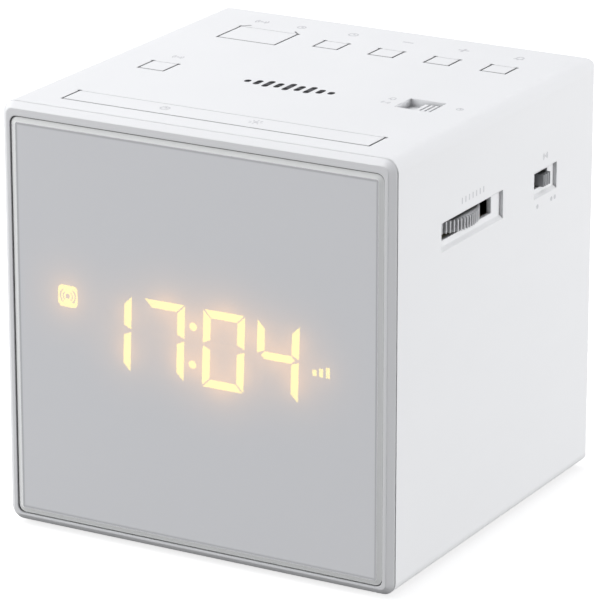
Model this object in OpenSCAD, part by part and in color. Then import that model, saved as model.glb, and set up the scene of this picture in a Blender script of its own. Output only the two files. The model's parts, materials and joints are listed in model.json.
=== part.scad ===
// Cube clock radio: a mains receiver with a four-digit display behind a half-mirror window.
// The front faces -Y, +Z is up, and the origin is under the body's centre, on the feet's plane.

/* [Body] */
// Width of the body
body_w = 101.6; // [101:0.1:103]
// Depth of the body from the window to the rear rim
body_d = 100.2; // [100:0.1:102]
// Height of the body without its feet
body_h = 101.6; // [101:0.1:103]
// Thickness of the cabinet's walls
wall = 2.4; // [2.2:0.1:2.6]
// Radius of the cabinet's long edges
edge_r = 3; // [2.8:0.1:3.4]
// Radius of the rear rim at the top and bottom
rim_r = 2; // [1.5:0.1:2.2]
// Height that the feet lift the body
foot_h = 1; // [0.8:0.1:1.5]
// Diameter of a foot
foot_d = 9; // [8:0.5:10]
// Distance of a foot from the body's centre lines
foot_offset = 39; // [36:0.5:41]

/* [Front] */
// Width of the chamfer round the front
chamfer = 1.5; // [1.4:0.1:1.8]
// Bezel left of and right of the window
window_side = 2.44; // [2.3:0.02:2.5]
// Bezel above the window
window_over = 3.2; // [3:0.1:3.4]
// Bezel below the window
window_under = 2.05; // [2:0.05:2.4]
// Thickness of the window
window_t = 1.8; // [1.6:0.1:2]
// Width of the bevel on the window's edge
window_bevel = 1.2; // [0.8:0.1:1.4]

/* [Display] */
// Sideways place of the display's centre
display_x = -1.38; // [-2:0.01:2]
// Height of the display's centre above the floor
display_z = 51.3; // [50:0.1:54]
// Height of a digit
digit_h = 18.5; // [16:0.1:19]
// Width of a digit
digit_w = 10.8; // [9:0.1:11.4]
// Width of a segment
segment_w = 1.9; // [1.6:0.1:2.2]
// Height of a digit's middle segment above its centre
waist = 0.9; // [0:0.1:1.2]
// Lean of the digits in degrees
lean = 1.8; // [0:0.1:4]
// Distance between the two digits of a pair
digit_pitch = 14.06; // [13.8:0.01:14.2]
// Distance between the two pairs
pair_pitch = 29.74; // [29.6:0.01:30]

/* [Keys] */
// Thickness of a key
key_t = 2; // [1.8:0.1:2.2]
// Width of the slit round a key
slit = 0.45; // [0.4:0.05:0.6]
// Width of a small key
key_w = 6; // [5.6:0.1:6.4]
// Length of a small key from its slit to its hinge
key_l = 5.7; // [5.4:0.1:6]
// Distance between the small keys
key_pitch = 14.87; // [14:0.01:15]
// Travel of a tactile switch
press = 0.25; // [0.2:0.01:0.3]

/* [Wheels] */
// Radius of the tuning and volume wheels
wheel_r = 14.5; // [14:0.1:15]
// How far a wheel stands out of the cabinet's side
wheel_proud = 1.5; // [1:0.1:2]
// Thickness of a wheel
wheel_t = 2.8; // [2.4:0.1:3]
// Number of ribs round a wheel
wheel_ribs = 84; // [60:1:100]

/* [Sliders] */
// Travel of the alarm slider over its three positions
alarm_travel = 4; // [3:0.1:4]
// Travel of the band slider between its two positions
band_travel = 3.2; // [2.8:0.1:3.4]

/* [Speaker] */
// Diameter of the loudspeaker
speaker_d = 66; // [60:1:66]
// Diameter of a grille hole
grille_hole_d = 2.4; // [2:0.1:3]
// Distance between grille holes
grille_pitch = 5; // [4.5:0.1:5]
// Rings of grille holes round the middle one
grille_rings = 5; // [3:1:5]

/* [Hidden] */
$fn = 48;

// Running gap between parts that move, and how far a cut runs past the face it opens
gap = 0.15;
over = 1;
half_w = body_w / 2;
half_d = body_d / 2;
z_floor = foot_h;
z_top = foot_h + body_h;
z_mid = foot_h + body_h / 2;
ceiling = z_top - wall;
inside_w = half_w - wall;
foot_seat = 0.6;

// Front: the seam between bezel and cabinet, the bezel's lip, and the window's outline
seam_y = -half_d + chamfer;
seam_gap = 0.3;
seam_tight = 0.05;
lip_back = -half_d + 6;
lip_inset = 1.3;
window_w = body_w - 2 * window_side;
window_h = body_h - window_over - window_under;
window_z = z_floor + window_under + window_h / 2;
window_r = 1.8;
window_back = -half_d + window_t;
ledge = 1.6;

// Display: the mask lies behind the window, and the board behind the mask
mask_front = window_back + 0.1;
mask_t = 1.4;
housing_front = window_back + 0.2;
display_board_front = -half_d + 8;
housing_w = 78;
housing_h = 26;
insert_t = 1;
seg_gap = 0.35;
mitre = seg_gap / sqrt(2);
half_digit = [digit_w / 2, digit_h / 2];
riser_foot = 0.35;
riser_cut = 0.8;

// Keys: heights of the key board, of the switches on it, and of the plungers' tips
board_t = 1.6;
key_board_top = z_top - 9.6;
switch_size = 6;
switch_h = 3.5;
plunger_r = 1.7;
plunger_top = key_board_top + 4.3;
post_gap = 0.15;

// Each key is [middle x, hinge y, width, length, distance from hinge to post]
KEY_X = 0;
KEY_Y = 1;
KEY_W = 2;
KEY_L = 3;
KEY_REACH = 4;
row_y = 32;
row_x = -8.85;
function row_key(i) = [row_x + i * key_pitch, row_y, key_w, key_l, 3.5];
SNOOZE = [0.4, -34.5, 79, 7.3, 4.5];
RADIO = [-28.6, 34, 15.4, 11.1, 7];
CLOCK = row_key(0);
MINUS = row_key(1);
PLUS = row_key(2);
ALARM = row_key(3);
SLEEP = [-34.9, -3.8, 6.4, 6.6, 3.8];
KEYS = [SNOOZE, RADIO, CLOCK, MINUS, PLUS, ALARM, SLEEP];

// Wheels: each turns on an upright shaft beside a slot in the cabinet's side
wheel_y = -15.65;
wheel_x = half_w + wheel_proud - wheel_r;
wheel_bottom = z_top - 23.6;
slot_bottom = z_top - 24.5;
slot_top = z_top - 20.2;
slot_front = -27.8;
slot_rear = -2.2;
recess_deep = 0.8;
recess_rear = 2.3;
recess_foot = z_top - 26.8;
slot_wall = 0.8;
shaft_r = 3;
shaft_gap = 0.05;

// Main board: a level board that carries both wheels' controls
main_top = z_top - 33;
board_front = -37;
control_top = z_top - 25.6;

// Sliders: middle of each pocket, pocket and knob sizes
alarm_x = 34.45;
alarm_y = -7.2;
alarm_pocket = [9.1, 8];
alarm_knob = [4.9, 6.6];
alarm_pocket_deep = 1.8;
alarm_knob_low = 0.7;
band_y = 22.4;
band_z = z_top - 23.1;
band_slot_front = 18.3;
band_slot_rear = 26.6;
band_slot_bottom = z_top - 24.75;
band_slot_top = z_top - 21.1;
band_knob = [3.5, 2.9];
band_recess_rear = 30;
band_recess_top = z_top - 20.4;
band_stem = [2, 1.6];
band_switch_face = inside_w - 0.6;
slider_plate = 1;

// Rear: cover, loudspeaker, battery drawer and cord, which is cut off just behind the cover
cover_t = 2.4;
cover_out = half_d - 0.2;
cover_in = cover_out - cover_t;
speaker_z = z_floor + 56;
speaker_r = speaker_d / 2;
magnet_r = 16;
frame_deep = 15;
frame_r = 13;
cone_seat = 0.7;
cone_seat_r = speaker_r - 5;
case_boss_l = 20;
case_screw_x = 43.2;
case_screw_low = z_floor + 7.5;
case_screw_high = z_top - 7.6;
screw_r = 1.25;
pilot_r = 1.3;
drawer_x = -24;
drawer_z = z_floor + 7.5;
drawer_box = [23, 27, 5];
drawer_screw_x = 16.5;
screw_seat = 1.7;
board_screw_l = 5;
cell_r = 10;
cell_t = 3.2;
cord_x = 30;
cord_z = z_floor + 9;
cord_r = 1.9;
cord_out = 1.5;
aerial_x = 40;
aerial_z = z_floor + 20;
aerial_r = 0.7;

// Transformer: middle and size of the laminated core
core_x = -19;
core_y = -14;
core = [38, 16, 32];
core_z = z_floor + 6;

// Ferrite rod: along X, above the main board
rod_r = 4;
rod_l = 74;
rod_y = 8;
rod_z = z_top - 16;

// ---- Shared shapes ----

// Rectangle with round corners, centred on the origin
module round_rect(w, h, r) {
  square([w - 2 * r, h], center = true);
  square([w, h - 2 * r], center = true);
  for (x = [-1, 1], y = [-1, 1])
    translate([x * (w / 2 - r), y * (h / 2 - r)]) circle(r);
}

// Extrudes a front view (x, z) from y0 back to y1
module along_y(y0, y1) {
  translate([0, y1, 0]) rotate([90, 0, 0]) linear_extrude(y1 - y0) children();
}

// Extrudes a side view (y, z) from x0 to x1
module along_x(x0, x1) {
  translate([x0, 0, 0]) rotate([90, 0, 90]) linear_extrude(x1 - x0) children();
}

// Extrudes a plan view (x, y) from z0 to z1
module along_z(z0, z1) {
  translate([0, 0, z0]) linear_extrude(z1 - z0) children();
}

// Block between two corners
module block(low, high) {
  translate(low) cube(high - low);
}

// Upright post or hole
module post(x, y, z0, z1, r) {
  translate([x, y, z0]) cylinder(h = z1 - z0, r = r);
}

// Post or hole along Y
module rod_along_y(x, z, y0, y1, r) {
  translate([x, y1, z]) rotate([90, 0, 0]) cylinder(h = y1 - y0, r = r);
}

// Plate facing -Y whose front edge slopes in by inset over the given depth
module sloped_plate(w, h, r, inset, deep, y, z) {
  translate([0, y + deep, z]) rotate([90, 0, 0]) {
    for (x = [-1, 1], v = [-1, 1])
      translate([x * (w / 2 - r), v * (h / 2 - r), 0]) cylinder(h = deep, r1 = r, r2 = r - inset);
    rotate([90, 0, 0]) translate([0, 0, -(h / 2 - r)]) linear_extrude(h - 2 * r)
      polygon([[-w / 2, 0], [w / 2, 0], [w / 2 - inset, deep], [-w / 2 + inset, deep]]);
    rotate([90, 0, 90]) translate([0, 0, -(w / 2 - r)]) linear_extrude(w - 2 * r)
      polygon([[-h / 2, 0], [h / 2, 0], [h / 2 - inset, deep], [-h / 2 + inset, deep]]);
  }
}

// Upright screw with a pan head whose underside is at z; it points down, or up if flipped
module upright_screw(x, y, z, long, flipped = false) {
  translate([x, y, z]) rotate([flipped ? 180 : 0, 0, 0]) pan_screw(long);
}

// Screw with its head above the origin and its shank below
module pan_screw(long) {
  head_r = 2.6;
  head_h = 1.7;
  difference() {
    union() {
      translate([0, 0, -long]) cylinder(h = long, r = screw_r);
      cylinder(h = head_h, r1 = head_r, r2 = head_r - 0.5);
    }
    for (turn = [0, 90])
      rotate([0, 0, turn]) translate([-1.5, -0.3, head_h - 0.8]) cube([3, 0.6, over + 0.8]);
  }
}

// ---- Casing ----

// Side view of the cabinet's front end: tight against the bezel along the top, open below it
module seam_outline() {
  polygon([
    [seam_y + seam_tight, z_top + over],
    [seam_y + seam_tight, z_top - edge_r / 2],
    [seam_y + seam_gap, z_top - edge_r],
    [seam_y + seam_gap, z_floor - over],
    [half_d + over, z_floor - over],
    [half_d + over, z_top + over]
  ]);
}

// Solid with the cabinet's outer form, from the seam to the rear rim
module cabinet_form() {
  rear_corner_r = 1.2;
  intersection() {
    along_y(seam_y, half_d) translate([0, z_mid]) round_rect(body_w, body_h, edge_r);
    along_x(-half_w - over, half_w + over) seam_outline();
    along_x(-half_w - over, half_w + over)
      translate([-half_d, z_mid]) round_rect(4 * half_d, body_h, rim_r);
    along_z(z_floor - over, z_top + over)
      translate([0, -half_d]) round_rect(body_w, 4 * half_d, rear_corner_r);
  }
}

// Opening of a key: slit on three sides, a running gap at the hinge, and round relief holes
module key_opening(k) {
  x0 = k[KEY_X] - k[KEY_W] / 2 - slit;
  x1 = k[KEY_X] + k[KEY_W] / 2 + slit;
  y0 = k[KEY_Y] - k[KEY_L] - slit;
  relief_r = 0.55;
  block([x0, y0, ceiling - over], [x1, k[KEY_Y] + gap, z_top + over]);
  for (x = [x0 + slit / 2, x1 - slit / 2])
    post(x, k[KEY_Y] + gap, ceiling - over, z_top + over, relief_r);
}

// Slits that narrow the neck behind the wide radio key
module neck_slits() {
  reach = 2.6;
  for (side = [-1, 1])
    translate([RADIO[KEY_X] + side * (RADIO[KEY_W] + slit) / 2, RADIO[KEY_Y] + gap, ceiling - over])
      rotate([0, 0, 90 + side * 45])
        translate([0, -slit / 2, 0]) cube([reach, slit, wall + 2 * over]);
}

// Cross-section of a finger recess in the right side, from its top down to its sloped foot
module recess_outline(top) {
  floor_x = half_w - recess_deep;
  polygon([
    [floor_x, recess_foot + recess_deep],
    [floor_x, top],
    [half_w + over, top],
    [half_w + over, recess_foot],
    [half_w, recess_foot]
  ]);
}

// Slot through the right side at the given y and z, with the wall thinned inside round it
module side_slot(y, z) {
  relief = 1;
  block([inside_w - over, y[0], z[0]], [half_w + over, y[1], z[1]]);
  block([inside_w - over, y[0] - relief, z[0] - relief],
        [half_w - recess_deep - slot_wall, y[1] + relief, z[1] + relief]);
}

// Slot and finger recess for a wheel
module wheel_opening() {
  along_y(slot_front, recess_rear) recess_outline(slot_top + gap);
  side_slot([slot_front, slot_rear], [slot_bottom, slot_top]);
}

// Slot and finger recess for the band slider
module band_opening() {
  along_y(band_slot_front, band_recess_rear) recess_outline(band_recess_top);
  side_slot([band_slot_front, band_slot_rear], [band_slot_bottom, band_slot_top]);
}

// Pocket and slot for the alarm slider in the top
module alarm_opening() {
  slot = [alarm_pocket.x - 1.2, 2.4];
  translate([alarm_x, alarm_y, z_top - alarm_pocket_deep])
    linear_extrude(alarm_pocket_deep + over) square(alarm_pocket, center = true);
  translate([alarm_x, alarm_y, ceiling - over])
    linear_extrude(wall + 2 * over) square(slot, center = true);
}

// Places of the screws through the rear cover
module at_case_screws() {
  for (x = [-case_screw_x, case_screw_x], z = [case_screw_low, case_screw_high])
    translate([x, 0, z]) children();
}

// Places of the main board's screws
module at_main_screws() {
  for (x = [-45.4, 45.4], y = [-31, 10])
    translate([x, y, main_top]) children();
}

// Places of the key board's screws
module at_key_board_screws() {
  for (x = [-42, 42], y = [-24, 14])
    translate([x, y, key_board_top]) children();
}

// Places of the transformer's screws
module at_transformer_screws() {
  for (x = [-23.5, 23.5])
    translate([core_x + x, core_y, core_z + 1]) children();
}

// Places of the feet
module at_feet() {
  for (x = [-foot_offset, foot_offset], y = [-foot_offset, foot_offset])
    translate([x, y, 0]) children();
}

// Air slots through the floor
module floor_vents() {
  vent = [22, 2];
  vent_pitch = 5;
  for (i = [-2:2])
    translate([18, i * vent_pitch, z_floor - over])
      linear_extrude(wall + 2 * over) round_rect(vent.x, vent.y, vent.y / 2 - 0.05);
}

// Webs that tie the case screws' bosses to the walls beside them
module case_webs() {
  half_t = 1.2;
  y0 = cover_in - case_boss_l;
  for (side = [0, 1])
    mirror([side, 0, 0]) {
      for (z = [case_screw_low, case_screw_high])
        block([case_screw_x, y0, z - half_t], [inside_w + over, cover_in, z + half_t]);
      block([case_screw_x - half_t, y0, z_floor - over], [case_screw_x + half_t, cover_in, case_screw_low]);
      block([case_screw_x - half_t, y0, case_screw_high], [case_screw_x + half_t, cover_in, ceiling + over]);
    }
}

module cabinet_bosses() {
  boss_r = 3.6;
  at_case_screws() rod_along_y(0, 0, cover_in - case_boss_l, cover_in, boss_r);
  case_webs();
  at_main_screws() post(0, 0, -12, -board_t, 3.2);
  at_key_board_screws() post(0, 0, 0, ceiling + over - key_board_top, 2.8);
  at_transformer_screws() post(0, 0, z_floor + over - core_z - 1, -1, 3);
  for (x = [-1, 1])
    block([x > 0 ? inside_w - 3 : -inside_w - over, -28, main_top - board_t - 3],
          [x > 0 ? inside_w + over : -inside_w + 3, 5, main_top - board_t]);
}

module boss_holes() {
  at_case_screws() rod_along_y(0, 0, cover_in - 12, cover_in + over, pilot_r);
  at_main_screws() post(0, 0, -board_screw_l - 1, 0, pilot_r);
  at_key_board_screws() post(0, 0, -over, 5, pilot_r);
  at_transformer_screws() post(0, 0, -board_screw_l - 0.2, 0, pilot_r);
}

module cabinet() {
  cavity = [2 * inside_w, body_h - 2 * wall];
  rebate = [body_w - 2 * lip_inset + 2 * gap, body_h - 2 * lip_inset + 2 * gap];
  color("white") difference() {
    union() {
      difference() {
        cabinet_form();
        along_y(-half_d, half_d + over) translate([0, z_mid]) round_rect(cavity.x, cavity.y, 0.8);
      }
      intersection() {
        cabinet_form();
        cabinet_bosses();
      }
    }
    along_y(-half_d, lip_back + gap) translate([0, z_mid]) round_rect(rebate.x, rebate.y, 1.7);
    for (k = KEYS) key_opening(k);
    neck_slits();
    wheel_opening();
    mirror([1, 0, 0]) wheel_opening();
    band_opening();
    alarm_opening();
    boss_holes();
    at_feet() post(0, 0, 0, z_floor + foot_seat, foot_d / 2 + 0.05);
    floor_vents();
  }
}

module front_bezel() {
  lip = [body_w - 2 * lip_inset, body_h - 2 * lip_inset];
  color("white") difference() {
    union() {
      sloped_plate(body_w, body_h, edge_r, chamfer, chamfer, -half_d, z_mid);
      along_y(seam_y - 0.1, lip_back) translate([0, z_mid]) round_rect(lip.x, lip.y, 1.7);
    }
    along_y(-half_d - over, window_back)
      translate([0, window_z]) round_rect(window_w, window_h, window_r);
    along_y(-half_d, lip_back + over)
      translate([0, window_z]) round_rect(window_w - 2 * ledge, window_h - 2 * ledge, 1);
  }
}

module front_window() {
  groove = 0.22;
  w = window_w - 2 * groove;
  h = window_h - 2 * groove;
  bevel_deep = 0.35;
  color("silver") {
    sloped_plate(w, h, window_r, window_bevel, bevel_deep, -half_d, window_z);
    along_y(-half_d + bevel_deep, window_back) translate([0, window_z]) round_rect(w, h, window_r);
  }
}

module rear_cover_blank() {
  clear = 0.2;
  along_y(cover_in, cover_out) translate([0, z_mid])
    round_rect(2 * (inside_w - clear), body_h - 2 * wall - 2 * clear, 1);
  at_speaker_posts() {
    rod_along_y(0, 0, cover_in - 1.5, cover_in, 1.75);
    rod_along_y(0, 0, cover_in - 1.85, cover_in - 1.05, 2.6);
  }
  translate([drawer_x + drawer_screw_x, 0, drawer_z])
    rod_along_y(0, 0, cover_in - 8, cover_in, 3);
}

// Staggered rings of round holes in front of the loudspeaker
module grille_holes() {
  steps = grille_rings;
  for (i = [-steps:steps], j = [-steps:steps])
    if (abs(i + j) <= steps)
      rod_along_y((i + j / 2) * grille_pitch, speaker_z + j * grille_pitch * sin(60),
                  cover_in - over, cover_out + over, grille_hole_d / 2);
}

// Places of the staked posts that hold the loudspeaker's rim
module at_speaker_posts() {
  pcd_r = speaker_r + 1.8;
  for (turn = [45, 135, 225, 315])
    translate([pcd_r * cos(turn), 0, speaker_z + pcd_r * sin(turn)]) children();
}

module rear_cover() {
  head_r = 2.9;
  front_panel = [38, 9.6];
  color("whitesmoke") difference() {
    rear_cover_blank();
    grille_holes();
    at_case_screws() {
      rod_along_y(0, 0, cover_in - over, cover_out + over, 1.5);
      rod_along_y(0, 0, cover_out - screw_seat, cover_out + over, head_r);
    }
    along_y(cover_in - over, cover_out + over)
      translate([drawer_x, drawer_z]) square([drawer_box.x + 0.6, drawer_box.z + 0.6], center = true);
    along_y(cover_out - 1.2, cover_out + over)
      translate([drawer_x + 3.2, drawer_z]) round_rect(front_panel.x, front_panel.y, 1.2);
    rod_along_y(drawer_x + drawer_screw_x, drawer_z, cover_in - 7, cover_out + over, pilot_r);
    rod_along_y(cord_x, cord_z, cover_in - over, cover_out + over, 4.05);
    rod_along_y(aerial_x, aerial_z, cover_in - over, cover_out + over, aerial_r + 0.05);
  }
}

module case_screws() {
  color("dimgray") at_case_screws()
    translate([0, cover_out - screw_seat, 0]) rotate([-90, 0, 0]) pan_screw(10);
}

module feet() {
  lip_r = 0.4;
  r = foot_d / 2;
  color("dimgray") at_feet() {
    cylinder(h = lip_r, r1 = r - lip_r, r2 = r);
    post(0, 0, lip_r, z_floor + foot_seat, r);
  }
}

// ---- Keys ----

// Key plate flush with the top, hinged at its rear edge, with a post over its switch
module key(k) {
  post_r = 1.2;
  color("white") {
    block([k[KEY_X] - k[KEY_W] / 2, k[KEY_Y] - k[KEY_L], z_top - key_t],
          [k[KEY_X] + k[KEY_W] / 2, k[KEY_Y], z_top]);
    post(k[KEY_X], k[KEY_Y] - k[KEY_REACH], plunger_top + post_gap, z_top - key_t, post_r);
  }
}

module plunger(k) {
  color("ivory") post(k[KEY_X], k[KEY_Y] - k[KEY_REACH], key_board_top + 1.5, plunger_top, plunger_r);
}

module tactile_switches() {
  bore_bottom = key_board_top + 1.5 - press - 0.1;
  color("black") for (k = KEYS)
    translate([k[KEY_X], k[KEY_Y] - k[KEY_REACH], 0]) difference() {
      along_z(key_board_top, key_board_top + switch_h) square(switch_size, center = true);
      post(0, 0, bore_bottom, z_top, plunger_r + shaft_gap);
    }
}

module key_board() {
  wide = [91, 62];
  narrow = [77, 14];
  color("darkgreen") difference() {
    union() {
      translate([0, -11, key_board_top - board_t])
        linear_extrude(board_t) square([wide.x, wide.y], center = true);
      translate([0, 27, key_board_top - board_t])
        linear_extrude(board_t) square([narrow.x, narrow.y + 0.02], center = true);
    }
    at_key_board_screws() post(0, 0, -board_t - over, over, 1.5);
  }
}

// The same small screw holds the key board, main board, display board and transformer
module board_screws() {
  color("silver") {
    at_key_board_screws() upright_screw(0, 0, -board_t, board_screw_l, true);
    at_main_screws() upright_screw(0, 0, 0, board_screw_l);
    at_transformer_screws() upright_screw(0, 0, 0, board_screw_l);
    at_display_screws() translate([0, board_t, 0]) rotate([-90, 0, 0]) pan_screw(board_screw_l);
  }
}

// ---- Sliders ----

// The alarm slider stands at the right end of its travel
module alarm_slider() {
  x = alarm_x + alarm_travel / 2;
  stem = [2.4, 2];
  knob_foot = z_top - alarm_pocket_deep + 0.1;
  knob_top = z_top - alarm_knob_low;
  plate = [alarm_knob.x + 6, 6];
  rib_pitch = 1.2;
  color("white") difference() {
    union() {
      translate([x, alarm_y, knob_foot])
        linear_extrude(knob_top - knob_foot) square(alarm_knob, center = true);
      translate([x, alarm_y, ceiling - gap - slider_plate])
        linear_extrude(knob_foot - ceiling + gap + slider_plate) square(stem, center = true);
      translate([x, alarm_y, ceiling - gap - slider_plate])
        linear_extrude(slider_plate) square(plate, center = true);
    }
    for (i = [-1:1])
      translate([x + i * rib_pitch - 0.2, alarm_y - alarm_knob.y / 2 - over, knob_top - 0.25])
        cube([0.4, alarm_knob.y + 2 * over, over]);
  }
}

module alarm_switch() {
  size = [14, 7, 4.4];
  color("dimgray") translate([alarm_x, alarm_y, key_board_top + size.z / 2])
    cube(size, center = true);
}

// The band slider stands at the rear end of its travel, and its stem is held in the switch
module band_slider() {
  y = band_y + band_travel / 2;
  knob = [band_switch_face + 0.9, half_w + 0.5];
  rib_pitch = 1.1;
  color("gray") difference() {
    union() {
      along_x(knob[0], knob[1]) translate([y, band_z]) square(band_knob, center = true);
      along_x(band_switch_face - 1.5, knob[0]) translate([y, band_z]) square(band_stem, center = true);
    }
    for (i = [-1:1])
      translate([knob[1] - 0.4, y + i * rib_pitch - 0.2, band_z - band_knob.y])
        cube([over, 0.4, 2 * band_knob.y]);
  }
}

module band_switch() {
  size = [6, 14, 6.6];
  color("dimgray") difference() {
    union() {
      translate([band_switch_face - size.x, band_y - size.y / 2, band_z - size.z / 2]) cube(size);
      for (y = [-5:2.5:5])
        post(band_switch_face - size.x / 2, band_y + y, main_top, band_z - size.z / 2 + 0.1, 0.5);
    }
    along_x(band_switch_face - 1.7, band_switch_face + over) translate([band_y, band_z])
      square([band_stem.x + band_travel + gap, band_stem.y + gap], center = true);
  }
}

// ---- Wheels ----

// Outline of a ribbed wheel: each rib is a flat-topped tooth
function rib_point(i) =
  let (deep = 0.6, turn = 360 / wheel_ribs, k = i % 4, tooth = floor(i / 4))
  let (share = [0, 0.28, 0.42, 0.86][k], r = k < 2 ? wheel_r : wheel_r - deep)
  [r * cos((tooth + share) * turn), r * sin((tooth + share) * turn)];

// Wheel seen from above with its hub, on the upright axis
module ribbed_wheel() {
  hub_r = 5.5;
  hub_drop = 0.7;
  dish = 0.8;
  difference() {
    union() {
      along_z(wheel_bottom, wheel_bottom + wheel_t)
        polygon([for (i = [0:4 * wheel_ribs - 1]) rib_point(i)]);
      post(0, 0, wheel_bottom - hub_drop, wheel_bottom + wheel_t, hub_r);
    }
    difference() {
      post(0, 0, wheel_bottom + wheel_t - dish, wheel_bottom + wheel_t + over, wheel_r - 3.5);
      post(0, 0, wheel_bottom, wheel_bottom + wheel_t + over, hub_r);
    }
    post(0, 0, wheel_bottom - over, wheel_bottom + wheel_t + over, shaft_r + 0.02);
  }
}

// Shaft from inside the control up through the wheel, tapped for the wheel's screw
module wheel_shaft() {
  difference() {
    post(0, 0, control_top - 5, wheel_bottom + wheel_t, shaft_r);
    post(0, 0, wheel_bottom - over, wheel_bottom + wheel_t + over, pilot_r);
  }
}

module wheel_screw() {
  upright_screw(0, 0, wheel_bottom + wheel_t, 3.5);
}

// Block of the given plan size with a round socket for the shaft
module control_body(size) {
  difference() {
    along_z(main_top, control_top) square(size, center = true);
    post(0, 0, control_top - 5.2, control_top + over, shaft_r + shaft_gap);
  }
}

module at_tuning() {
  translate([wheel_x, wheel_y, 0]) children();
}

module at_volume() {
  translate([-wheel_x, wheel_y, 0]) children();
}

module tuning_wheel() {
  color("lightgray") at_tuning() ribbed_wheel();
}

module tuning_shaft() {
  color("goldenrod") at_tuning() wheel_shaft();
}

module tuning_screw() {
  color("silver") at_tuning() wheel_screw();
}

module tuning_capacitor() {
  color("ghostwhite") at_tuning() control_body([20, 20]);
}

module volume_wheel() {
  color("lightgray") at_volume() ribbed_wheel();
}

module volume_shaft() {
  color("silver") at_volume() wheel_shaft();
}

module volume_screw() {
  color("silver") at_volume() wheel_screw();
}

module volume_control() {
  color("saddlebrown") at_volume() control_body([17, 17]);
}

// ---- Display ----

// Places of the display board's screws
module at_display_screws() {
  for (x = [-42.5, 42.5], z = [display_z - 15.5, display_z + 15.5])
    translate([x, display_board_front, z]) children();
}

module display_mask() {
  w = window_w - 2 * ledge - 0.2;
  h = window_h - 2 * ledge - 0.2;
  color("black") difference() {
    union() {
      along_y(mask_front, mask_front + mask_t) translate([0, window_z]) round_rect(w, h, 1);
      at_display_screws() rod_along_y(0, 0, mask_front + 0.5 - display_board_front, 0, 2.6);
    }
    along_y(mask_front - over, mask_front + mask_t + over)
      translate([display_x, display_z]) square([housing_w + 0.3, housing_h + 0.3], center = true);
    at_display_screws() rod_along_y(0, 0, -5, over, pilot_r);
  }
}

module display_board() {
  size = [91, 38];
  color("darkgreen") difference() {
    along_y(display_board_front, display_board_front + board_t)
      translate([0, display_z]) square(size, center = true);
    at_display_screws() rod_along_y(0, 0, -over, board_t + over, 1.5);
  }
}

// Outlines of a digit's segments about its centre. The cap lies along the top, the riser at the
// top right and the bar at the waist; the others are these three turned over.
function cap_outline() =
  let (x = half_digit.x - mitre, z = half_digit.y)
  [[-x, z], [x, z], [x - segment_w, z - segment_w], [-x + segment_w, z - segment_w]];

function riser_outline(side) =
  let (x = half_digit.x, z = half_digit.y - mitre, foot = side * waist + riser_foot)
  [[x, z], [x, foot], [x - segment_w, foot + riser_cut], [x - segment_w, z - segment_w]];

function bar_outline() =
  let (x = half_digit.x - 1.1, t = 0.9)
  [[-x, waist], [t - x, waist + t], [x - t, waist + t], [x, waist], [x - t, waist - t], [t - x, waist - t]];

// Outlines of segments a to g, each before it is turned over, with its signs along x and z
SEGMENTS = [
  [cap_outline(), 1, 1], [riser_outline(1), 1, 1], [riser_outline(-1), 1, -1], [cap_outline(), 1, -1],
  [riser_outline(-1), -1, -1], [riser_outline(1), -1, 1], [bar_outline(), 1, 1]
];

module segment(i) {
  s = SEGMENTS[i];
  polygon([for (p = s[0]) [s[1] * p.x + s[2] * p.y * tan(lean), s[2] * p.y]]);
}

// Segments that light for each digit from 0 to 9, in the order a to g
LIT = [
  [1, 1, 1, 1, 1, 1, 0], [0, 1, 1, 0, 0, 0, 0], [1, 1, 0, 1, 1, 0, 1], [1, 1, 1, 1, 0, 0, 1],
  [0, 1, 1, 0, 0, 1, 1], [1, 0, 1, 1, 0, 1, 1], [1, 0, 1, 1, 1, 1, 1], [1, 1, 1, 0, 0, 0, 0],
  [1, 1, 1, 1, 1, 1, 1], [1, 1, 1, 1, 0, 1, 1]
];
SHOWN = [1, 7, 0, 4];

// Segments of one digit that are lit (1) or dark (0)
module digit_segments(value, state) {
  for (i = [0:6])
    if (LIT[value][i] == state) segment(i);
}

// All four digits' segments that are lit (1) or dark (0)
module digits(state) {
  for (i = [0:3])
    translate([(i < 2 ? -1 : 1) * pair_pitch / 2 + (i % 2 == 0 ? -1 : 1) * digit_pitch / 2, 0])
      digit_segments(SHOWN[i], state);
}

// Ring sector that opens upwards, for the alarm sign's sound waves
module wave(r, side) {
  thick = 0.35;
  intersection() {
    difference() {
      circle(r + thick / 2);
      circle(r - thick / 2);
    }
    translate([side * r, 0]) square([r * 1.2, r * 1.5], center = true);
  }
}

// Alarm sign: a lit tile with a dark dot between two pairs of waves
module alarm_sign() {
  size = 5.2;
  translate([-33.4, 6.4]) difference() {
    round_rect(size, size, 1.1);
    circle(0.6);
    for (r = [1.25, 2], side = [-1, 1]) wave(r, side);
  }
}

// Three small bars that light with the radio
module radio_sign() {
  for (i = [0:2])
    translate([31.3 + i * 1.7, -1.1 + i * 0.25]) square([1, 1.5 + i * 0.5], center = true);
}

module colon_dots() {
  dot_d = 1.9;
  for (z = [-4.55, 4.55]) translate([-0.17 + z * tan(lean), z]) circle(d = dot_d);
}

module lit_outline() {
  digits(1);
  colon_dots();
  alarm_sign();
  radio_sign();
}

module lit_segments() {
  color("khaki") along_y(housing_front - 0.05, housing_front + insert_t)
    translate([display_x, display_z]) lit_outline();
}

module unlit_segments() {
  color("gray") along_y(housing_front - 0.05, housing_front + insert_t)
    translate([display_x, display_z]) digits(0);
}

module display_housing() {
  color("black") difference() {
    along_y(housing_front, display_board_front)
      translate([display_x, display_z]) square([housing_w, housing_h], center = true);
    along_y(housing_front - over, housing_front + insert_t) translate([display_x, display_z]) {
      lit_outline();
      digits(0);
    }
  }
}

// ---- Main board ----

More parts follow.
